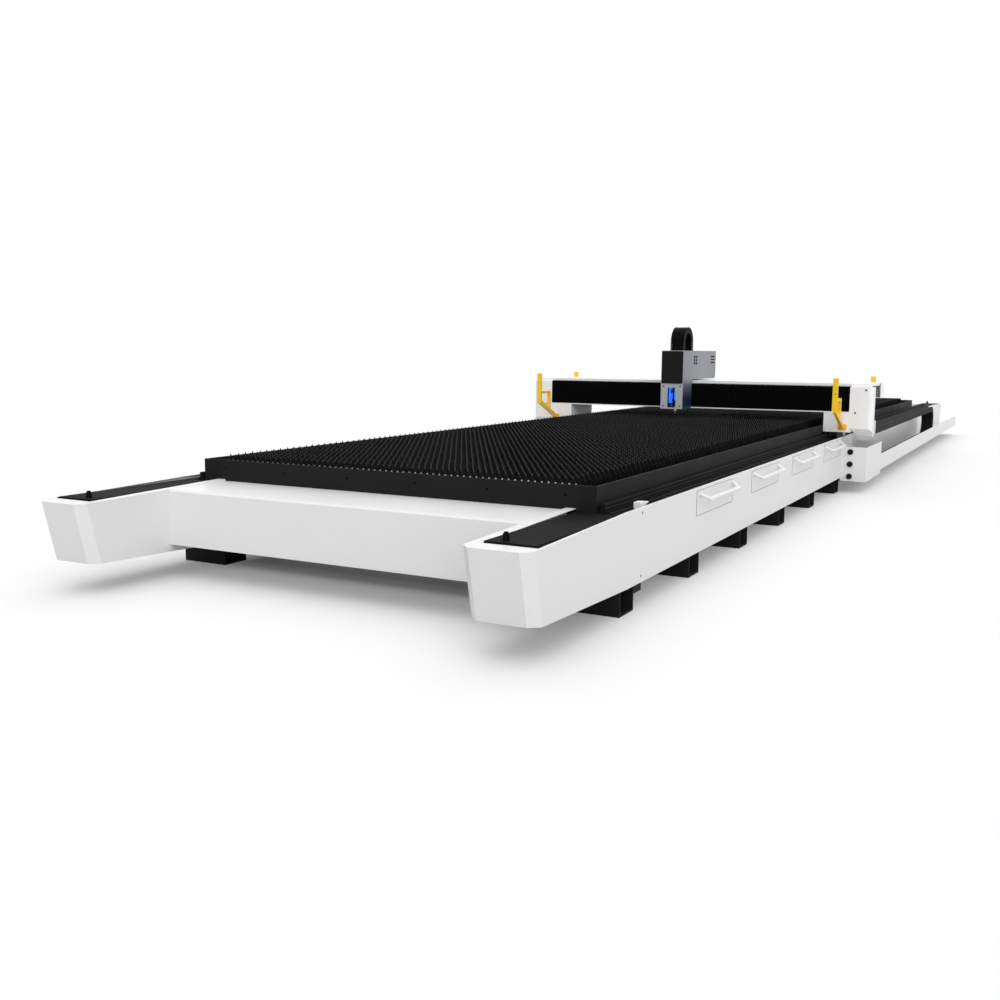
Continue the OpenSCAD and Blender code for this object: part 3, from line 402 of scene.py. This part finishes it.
def piece(name, points, faces, slot, material=None):
    mesh = bpy.data.meshes.new(name)
    mesh.from_pydata([tuple(p) for p in points], [], [tuple(f) for f in faces])
    mesh.update()
    mesh.materials.append(material or PAINTS[slot])
    made = bpy.data.objects.new(name, mesh)
    bpy.context.scene.collection.objects.link(made)
    return made


BOX_CORNERS = np.array([(x, y, z) for x in (-0.5, 0.5) for y in (-0.5, 0.5) for z in (-0.5, 0.5)])
BOX_FACES = np.array([(0, 1, 3, 2), (4, 6, 7, 5), (0, 4, 5, 1), (2, 3, 7, 6), (0, 2, 6, 4), (1, 5, 7, 3)])


class Boxes:
    """Collects boxes, each with its middle, size and tilt about X, into one mesh."""

    def __init__(self):
        self.points = []
        self.faces = []

    def add(self, middle, size, tilt=0.0):
        turn = np.array(Matrix.Rotation(tilt, 3, "X"))
        self.faces.extend(BOX_FACES + 8 * len(self.points))
        self.points.append((BOX_CORNERS * size) @ turn.T + np.array(middle))

    def build(self, name, slot, material=None):
        return piece(name, np.concatenate(self.points), self.faces, slot, material)


# Slats at their real pitch

SLAT_PITCH = 0.085
SLAT_THICKNESS = 0.006
NOTCH_DEPTH = 0.042
# Shares of the tooth pitch: where the flat notch ends, where the tip starts and ends, where the notch starts
NOTCH_END, TIP_START, TIP_END, NOTCH_START = 0.22, 0.46, 0.54, 0.78
# Room between the rows and the frame's ends, and between the teeth and the slat's ends
ROW_ROOM, TOOTH_ROOM = 0.05, 0.01
# How far a slat may lie sideways or low in its carriers
SLAT_SHIFT, SLAT_SAG = 0.004, 0.0015
SLAT_SEED = 7


def add_slats():
    low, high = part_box("slats")
    frame_low, frame_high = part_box("slat_frame")
    valley = high.z - NOTCH_DEPTH
    rows = int((frame_high.y - frame_low.y - ROW_ROOM) / SLAT_PITCH)
    teeth = int((high.x - low.x - TOOTH_ROOM) / TOOTH_PITCH)
    first_row = (frame_low.y + frame_high.y - (rows - 1) * SLAT_PITCH) / 2
    random = np.random.default_rng(SLAT_SEED)
    # One side of a slat: its foot from left to right, then the edge with the teeth from right to left
    right_end = teeth * TOOTH_PITCH / 2
    side = [(-right_end, low.z), (right_end, low.z), (right_end, valley)]
    for i in range(teeth):
        x = right_end - i * TOOTH_PITCH
        side += [(x - NOTCH_END * TOOTH_PITCH, valley), (x - TIP_START * TOOTH_PITCH, high.z),
                 (x - TIP_END * TOOTH_PITCH, high.z), (x - NOTCH_START * TOOTH_PITCH, valley)]
    side = np.array(side + [(-right_end, valley)])
    count = len(side)
    outline = list(range(count))
    slat_faces = [outline, [count + k for k in reversed(outline)]]
    slat_faces += [[b, a, count + a, count + b] for a, b in zip(outline, outline[1:] + outline[:1])]
    points, faces = [], []
    for row in range(rows):
        y = first_row + row * SLAT_PITCH
        shift = random.uniform(-SLAT_SHIFT, SLAT_SHIFT)
        sag = random.uniform(-SLAT_SAG, 0)
        for across in (-SLAT_THICKNESS / 2, SLAT_THICKNESS / 2):
            points.append(np.column_stack([side[:, 0] + shift, np.full(count, y + across), side[:, 1] + sag]))
        base = row * 2 * count
        faces += [[base + k for k in f] for f in slat_faces]
    made = piece("toothed_slats", np.concatenate(points), faces, "slat_steel")
    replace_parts(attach(made, "bed"), "slats")


# Drag chains

LINK_LENGTH = 0.075
SIDE_PLATE = 0.018
BAND_THICKNESS, BAND_SINK = 0.012, 0.008
CORE_ROOM = 0.004
# Shares of a link's length taken by its plates, open or closed bands and core, and of its height by the core
PLATE_SHARE, OPEN_BAND, CLOSED_BAND, CORE_SHARE = 0.9, 0.55, 1.0, 1.02
CORE_HEIGHT = 0.62
BEND_LINKS = 9
HEAD_CHAIN_HEIGHT = 0.075
HEAD_BEND_LINKS, HEAD_LEG_LINKS = 18, 3


def add_link(boxes, middle, tilt, length, width, height, band=OPEN_BAND):
    """One link: two side plates, a band above and below and a core, lying along Y before the tilt."""
    turn = np.array(Matrix.Rotation(tilt, 3, "X"))
    middle = np.array(middle)
    between = width - 2 * SIDE_PLATE
    for side in (-1, 1):
        offset = (side * (width - SIDE_PLATE) / 2, 0, 0)
        boxes.add(middle + offset, (SIDE_PLATE, length * PLATE_SHARE, height), tilt)
    for side in (-1, 1):
        offset = turn @ np.array((0, 0, side * (height / 2 - BAND_SINK)))
        boxes.add(middle + offset, (between, length * band, BAND_THICKNESS), tilt)
    boxes.add(middle, (between - CORE_ROOM, length * CORE_SHARE, height * CORE_HEIGHT), tilt)


def chain_run(name, node):
    """A straight run of links that takes the node's place."""
    low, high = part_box(node)
    count = round((high.y - low.y) / LINK_LENGTH)
    step = (high.y - low.y) / count
    boxes = Boxes()
    for i in range(count):
        middle = ((low.x + high.x) / 2, low.y + (i + 0.5) * step, (low.z + high.z) / 2)
        add_link(boxes, middle, 0, step, high.x - low.x, high.z - low.z)
    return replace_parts(boxes.build(name, "chain_plastic"), node)


def chain_turn(boxes, centre, radius, start, count, width, height, band=OPEN_BAND):
    """Half a turn of links about an axis along X through centre, from the angle start."""
    step = math.pi / count
    for i in range(count):
        angle = start + (i + 0.5) * step
        middle = (centre[0], centre[1] + radius * math.cos(angle), centre[2] + radius * math.sin(angle))
        add_link(boxes, middle, angle + math.pi / 2, 2 * radius * math.tan(step / 2), width, height, band)


def add_chains():
    loop_low, loop_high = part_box("chain_loop")
    upper_low, upper_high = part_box("chain_upper_run")
    height = upper_high.z - upper_low.z
    width = upper_high.x - upper_low.x
    radius = (loop_high.z - loop_low.z - height) / 2
    centre = ((loop_low.x + loop_high.x) / 2, loop_low.y, (loop_low.z + loop_high.z) / 2)
    upper = chain_run("chain_upper", "chain_upper_run")
    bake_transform(upper)
    lower = chain_run("chain_lower", "chain_lower_run")
    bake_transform(lower)
    bend = Boxes()
    chain_turn(bend, centre, radius, -math.pi / 2, BEND_LINKS, width, height)
    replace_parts(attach(bend.build("chain_turn", "chain_plastic"), "chain_bend"), "chain_loop")


def add_head_chain():
    """The closed chain on the head: half a turn and two upright legs."""
    low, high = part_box("head_chain_loop")
    width, height = high.x - low.x, HEAD_CHAIN_HEIGHT
    radius = (high.y - low.y - height) / 2
    centre = ((low.x + high.x) / 2, (low.y + high.y) / 2, high.z - radius - height / 2)
    boxes = Boxes()
    chain_turn(boxes, centre, radius, 0, HEAD_BEND_LINKS, width, height, CLOSED_BAND)
    link = (centre[2] - low.z) / HEAD_LEG_LINKS
    for side in (-1, 1):
        for k in range(HEAD_LEG_LINKS):
            middle = (centre[0], centre[1] + side * radius, low.z + (k + 0.5) * link)
            add_link(boxes, middle, math.pi / 2, link, width, height, CLOSED_BAND)
    made = boxes.build("head_chain", "gloss_black", LINK_BLACK)
    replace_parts(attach(made, "head_carriage"), "head_chain_loop")


# Bellows with fine pleats

PLEAT = 0.022
PLEAT_DEPTH = 0.014
# The slope between front and top, down and back, and the share of a pleat's depth that shows below
SLOPE_DOWN, SLOPE_BACK = 0.03, 0.021
BOTTOM_SHARE = 0.3


def add_bellows(node):
    """Pleated cover that stretches between the gantry and the head carriage."""
    low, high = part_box(node)
    count = round((high.x - low.x) / PLEAT)
    rings, faces = [], []
    for i in range(2 * count + 1):
        inset = PLEAT_DEPTH * (i % 2)
        x = low.x + i * (high.x - low.x) / (2 * count)
        front, top, bottom = low.y + inset, high.z - inset, low.z + inset * BOTTOM_SHARE
        rings += [(x, high.y, top), (x, front + SLOPE_BACK, top), (x, front, top - SLOPE_DOWN),
                  (x, front, bottom), (x, high.y, bottom)]
    for i in range(2 * count):
        a, b = 5 * i, 5 * (i + 1)
        faces += [(a + k, a + (k + 1) % 5, b + (k + 1) % 5, b + k) for k in range(5)]
    faces += [tuple(range(4, -1, -1)), tuple(range(10 * count, 10 * count + 5))]
    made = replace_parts(piece(node + "_pleats", rings, faces, "bellows_fabric"), node)
    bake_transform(made)


# Small pieces on the head and the panels

# Places from the middle of the housing's lower front edge, and sizes
LIGHT_BAR_PLACE, LIGHT_BAR_SIZE = Vector((0.03, 0.06, 0.185)), (0.018, 0.012, 0.15)
LIT_PLATE_PLACE, LIT_PLATE_SIZE = Vector((-0.03, 0.225, 0.165)), (0.17, 0.006, 0.2)


def add_head_painted_glow():
    """A bar beside the window and a plate behind the barrel, both glowing blue: painted light for the lit
    window, not lamps.
    """
    low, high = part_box("head_housing")
    edge = Vector(((low.x + high.x) / 2, low.y, low.z))
    boxes = Boxes()
    boxes.add(edge + LIGHT_BAR_PLACE, LIGHT_BAR_SIZE)
    boxes.add(edge + LIT_PLATE_PLACE, LIT_PLATE_SIZE)
    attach(boxes.build("head_painted_glow", "head_alloy", BLUE), "head_carriage")


# Direction to the machine's front
FRONT = (0, -1, 0)
SCREW_CORNERS = 20
SCREW_RADIUS, SCREW_DEPTH = 0.009, 0.006


def screw(name, place, facing, slot, radius=SCREW_RADIUS, depth=SCREW_DEPTH):
    """Round screw head whose flat top looks along facing."""
    bpy.ops.mesh.primitive_cylinder_add(vertices=SCREW_CORNERS, radius=radius, depth=depth)
    made = bpy.context.object
    made.name = made.data.name = name
    turn = Vector(facing).to_track_quat("Z", "Y").to_matrix().to_4x4()
    made.data.transform(Matrix.Translation(place) @ turn)
    made.data.materials.append(PAINTS[slot])
    return made


WINDOW_SCREW_INSET, WINDOW_SCREW_HIGH = 0.035, 0.285


def add_head_screws():
    """Four dark screws round the window."""
    low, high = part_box("head_housing")
    for i, x in enumerate((low.x + WINDOW_SCREW_INSET, high.x - WINDOW_SCREW_INSET)):
        for j, z in enumerate((low.z + WINDOW_SCREW_INSET, low.z + WINDOW_SCREW_HIGH)):
            made = screw(f"head_screw_{2 * i + j}", (x, low.y, z), FRONT, "rubber_black")
            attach(made, "head_carriage")


# The lowest front vent's middle from the housing's front and bottom, then the steps to the next ones
VENT_BACK, VENT_UP = 0.44, 0.5714
VENT_STEP_BACK, VENT_STEP_UP = 0.08, 0.0402
VENT_COLUMNS, VENT_ROWS = 2, 3
VENT_SHADE_SIZE = (0.002, 0.052, 0.03)


def add_head_vents():
    """Dark plates behind the vents of the right wall: painted shade for the housing's dark inside."""
    low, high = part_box("head_housing")
    boxes = Boxes()
    for i in range(VENT_ROWS):
        for j in range(VENT_COLUMNS):
            y = low.y + VENT_BACK + j * VENT_STEP_BACK
            z = low.z + VENT_UP + i * VENT_STEP_UP
            boxes.add((high.x, y, z), VENT_SHADE_SIZE)
    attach(boxes.build("head_vent_shade", "rubber_black"), "head_carriage")


GLANDS = 3
SEAL_RADIUS, SEAL_DEPTH, SEAL_SINK = 0.0155, 0.012, 0.016


def add_gland_seals():
    """A black rubber seal in each cable gland."""
    low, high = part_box("cable_glands")
    radius = (high.x - low.x) / 2
    for i in range(GLANDS):
        z = low.z + radius + i * (high.z - low.z - 2 * radius) / (GLANDS - 1)
        place = ((low.x + high.x) / 2, low.y + SEAL_SINK, z)
        made = screw(f"gland_seal_{i}", place, FRONT, "rubber_black", SEAL_RADIUS, SEAL_DEPTH)
        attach(made, "bed")


# The end boxes' top edge falls by BOX_DROP over the last BOX_TAPER before the tip
BOX_DROP, BOX_TAPER = 0.034, 1.4
RIM_WIDTH = 0.046
LIP_REACH, LIP_DEPTH = 0.027, 0.1
LIP_SHEET, LIP_SINK, LIP_LAP = 0.003, 0.0005, 0.002
# Room to the slat frame and to the box's outer wall
LIP_ROOM, WALL_ROOM = 0.004, 0.022


def add_box_lips():
    """Flat lips that widen the rim of each end box along its inner side and at its tip."""
    for node in ("front_left_end_box", "front_right_end_box", "rear_left_end_box", "rear_right_end_box"):
        low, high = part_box(node)
        side = 1 if high.x > 0 else -1
        inner = min(abs(low.x), abs(high.x))
        outer = max(abs(low.x), abs(high.x))
        back = 1 if low.y > 0 else -1
        tip = max(abs(low.y), abs(high.y))
        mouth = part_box("slat_frame")[0].y if back < 0 else low.y
        top = high.z - LIP_SINK
        near, far = tip - RIM_WIDTH - LIP_LAP, tip - RIM_WIDTH - LIP_DEPTH
        rim = inner + RIM_WIDTH - LIP_LAP
        plates = [(rim, rim + LIP_REACH, abs(mouth) + LIP_ROOM, near),
                  (rim + LIP_REACH, outer - WALL_ROOM, far, near)]
        # A box mirrored once has its faces turned round, so that they still look outward
        outward = BOX_FACES if side == back else BOX_FACES[:, ::-1]
        points, faces = [], []
        for x0, x1, y0, y1 in plates:
            faces.extend(outward + len(points))
            for x in (x0, x1):
                for y in (y0, y1):
                    drop = BOX_DROP * max(0.0, 1 - (tip - y) / BOX_TAPER)
                    points += [(side * x, back * y, top - drop - t) for t in (LIP_SHEET, 0)]
        made = piece(f"{node}_lip", points, faces, "white_paint")
        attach(made, "bed")


PANEL_SCREW_ALONG, PANEL_SCREW_UP, PANEL_SCREW_DOWN = 0.03, 0.044, 0.033


def add_panel_screws():
    """Screw pairs at both ends of each side panel."""
    for node in ("left_side_panel", "right_side_panel"):
        low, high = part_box(node)
        outward = 1 if high.x > 0 else -1
        x = high.x if outward > 0 else low.x
        for i, y in enumerate((low.y + PANEL_SCREW_ALONG, high.y - PANEL_SCREW_ALONG)):
            for j, z in enumerate((low.z + PANEL_SCREW_UP, high.z - PANEL_SCREW_DOWN)):
                name = f"{node}_screw_{2 * i + j}"
                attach(screw(name, (x, y, z), (outward, 0, 0), "machined_steel"), "bed")


COVER_SCREW_RADIUS, COVER_SCREW_DEPTH = 0.011, 0.008
# Places inward from the cover's outer face and down from its top
COVER_SCREWS = ((0.085, 0.035), (0.2, 0.31))


def add_end_cover_screws():
    """Two dark screws on the front of each end cover."""
    for side, node in ((-1, "left_end_cover"), (1, "right_end_cover")):
        low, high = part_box(node)
        outer = high.x if side > 0 else low.x
        for i, (inward, down) in enumerate(COVER_SCREWS):
            place = (outer - side * inward, low.y, high.z - down)
            made = screw(f"{node}_screw_{i}", place, FRONT, "rubber_black",
                         COVER_SCREW_RADIUS, COVER_SCREW_DEPTH)
            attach(made, "gantry")


DRAWERS = 4
EDGE_THICKNESS, EDGE_PROUD, EDGE_WIDTH = 0.003, 0.0006, 0.006


def add_drawer_gap_shadows():
    """Thin grey strips on both upright sides of each drawer front: painted shade for the gap round the
    drawer.
    """
    for i in range(1, DRAWERS + 1):
        low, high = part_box(f"slag_drawer_{i}")
        x = high.x + EDGE_PROUD - EDGE_THICKNESS / 2
        boxes = Boxes()
        for y in (low.y + EDGE_WIDTH / 2, high.y - EDGE_WIDTH / 2):
            boxes.add((x, y, (low.z + high.z) / 2), (EDGE_THICKNESS, EDGE_WIDTH, high.z - low.z))
        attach(boxes.build(f"drawer_gap_shadow_{i}", "rubber_black", GAP_SHADOW_GREY), f"drawer_{i}")


# Floor, light and background

FLOOR_SIZE, FLOOR_DROP = 600, 0.001
# Where the shade under the bed starts and where it is full, beyond the frame's sides and ends
SHADE_ACROSS, SHADE_ALONG = (0.05, -0.35), (0.2, -0.25)
# Distance from the middle at which the floor starts to glow, and where it glows most
GLOW_REACH = (10.0, 26.0)
GLOW_FAR, GLOW_NEAR = 0.82, 0.18
SKY_LOW, SKY_RISE = 0.34, 0.72
# Direction to the light, strength and spread in degrees
LAMPS = {"key": ((1.0, -1.1, 0.8), 1.5, 70), "rear": ((-0.6, 1.0, 1.2), 0.5, 80)}


def under_bed(p):
    """1 on the floor in the middle of the slat frame's outline, 0 outside it and soft between."""
    low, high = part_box("slat_frame")
    across = abs(p.axis("X")).step(*(high.x + reach for reach in SHADE_ACROSS))
    along = abs(p.axis("Y") - (low.y + high.y) / 2)
    return across * along.step(*((high.y - low.y) / 2 + reach for reach in SHADE_ALONG))


def add_floor():
    bpy.ops.mesh.primitive_plane_add(size=FLOOR_SIZE, location=(0, 0, -FLOOR_DROP))
    floor = bpy.context.object
    floor.name = "floor"
    p = Paint("floor")
    speck = p.noise(0.4, 2)
    shade = under_bed(p)
    pale_floor = speck.mix((0.85, 0.85, 0.85), (0.86, 0.86, 0.86))
    material = p.set(Base_Color=(shade * 0.8).mix(pale_floor, (0.1, 0.1, 0.1)), Roughness=0.9,
                     Specular_IOR_Level=0.02)
    # The eye meets a pale floor with a soft shadow; the light that it throws back is that of a greyer one
    distance = p.node("ShaderNodeVectorMath", [p.place()], out="Value", operation="LENGTH")
    share = distance.step(*GLOW_REACH) * GLOW_FAR + (1.0 - shade) * GLOW_NEAR
    glow = p.node("ShaderNodeEmission", {"Color": (1.0, 1.0, 1.0), "Strength": 1.0})
    pale = p.node("ShaderNodeMixShader", [share, Socket(p, p.shader.outputs[0]), glow])
    grey = p.node("ShaderNodeBsdfDiffuse", {"Color": (0.58, 0.58, 0.58)})
    whole = p.node("ShaderNodeMixShader", [p.seen(), grey, pale])
    p.plug(p.tree.nodes["Material Output"].inputs["Surface"], whole)
    floor.data.materials.append(material)


def add_sky():
    """White to the eye; as a light it is brighter overhead than at the horizon."""
    world = bpy.data.worlds.new("world")
    bpy.context.scene.world = world
    world.use_nodes = True
    sky = Graph(world.node_tree)
    height = sky.part(sky.node("ShaderNodeTexCoord", out="Generated"), "Z").step(0.0, 1.0)
    seen = sky.seen()
    light = height * SKY_RISE + SKY_LOW
    background = world.node_tree.nodes["Background"]
    sky.plug(background.inputs["Color"], (1.0, 1.0, 1.0))
    sky.plug(background.inputs["Strength"], seen + light * (1.0 - seen))


def add_lamps():
    """Two very soft distant lights, so that the long bed is lit alike from end to end."""
    for name, (toward, strength, spread) in LAMPS.items():
        data = bpy.data.lights.new(name, "SUN")
        data.energy = strength
        data.angle = math.radians(spread)
        lamp = bpy.data.objects.new(name, data)
        lamp.matrix_world = Vector(toward).to_track_quat("Z", "Y").to_matrix().to_4x4()
        bpy.context.scene.collection.objects.link(lamp)


paint_nodes()
add_slats()
add_chains()
add_head_chain()
add_bellows("left_bellows")
add_bellows("right_bellows")
add_head_painted_glow()
add_head_screws()
add_head_vents()
add_gland_seals()
add_box_lips()
add_panel_screws()
add_end_cover_screws()
add_drawer_gap_shadows()
add_floor()
add_sky()
add_lamps()
add_camera()
bpy.context.scene.view_settings.view_transform = "Standard"
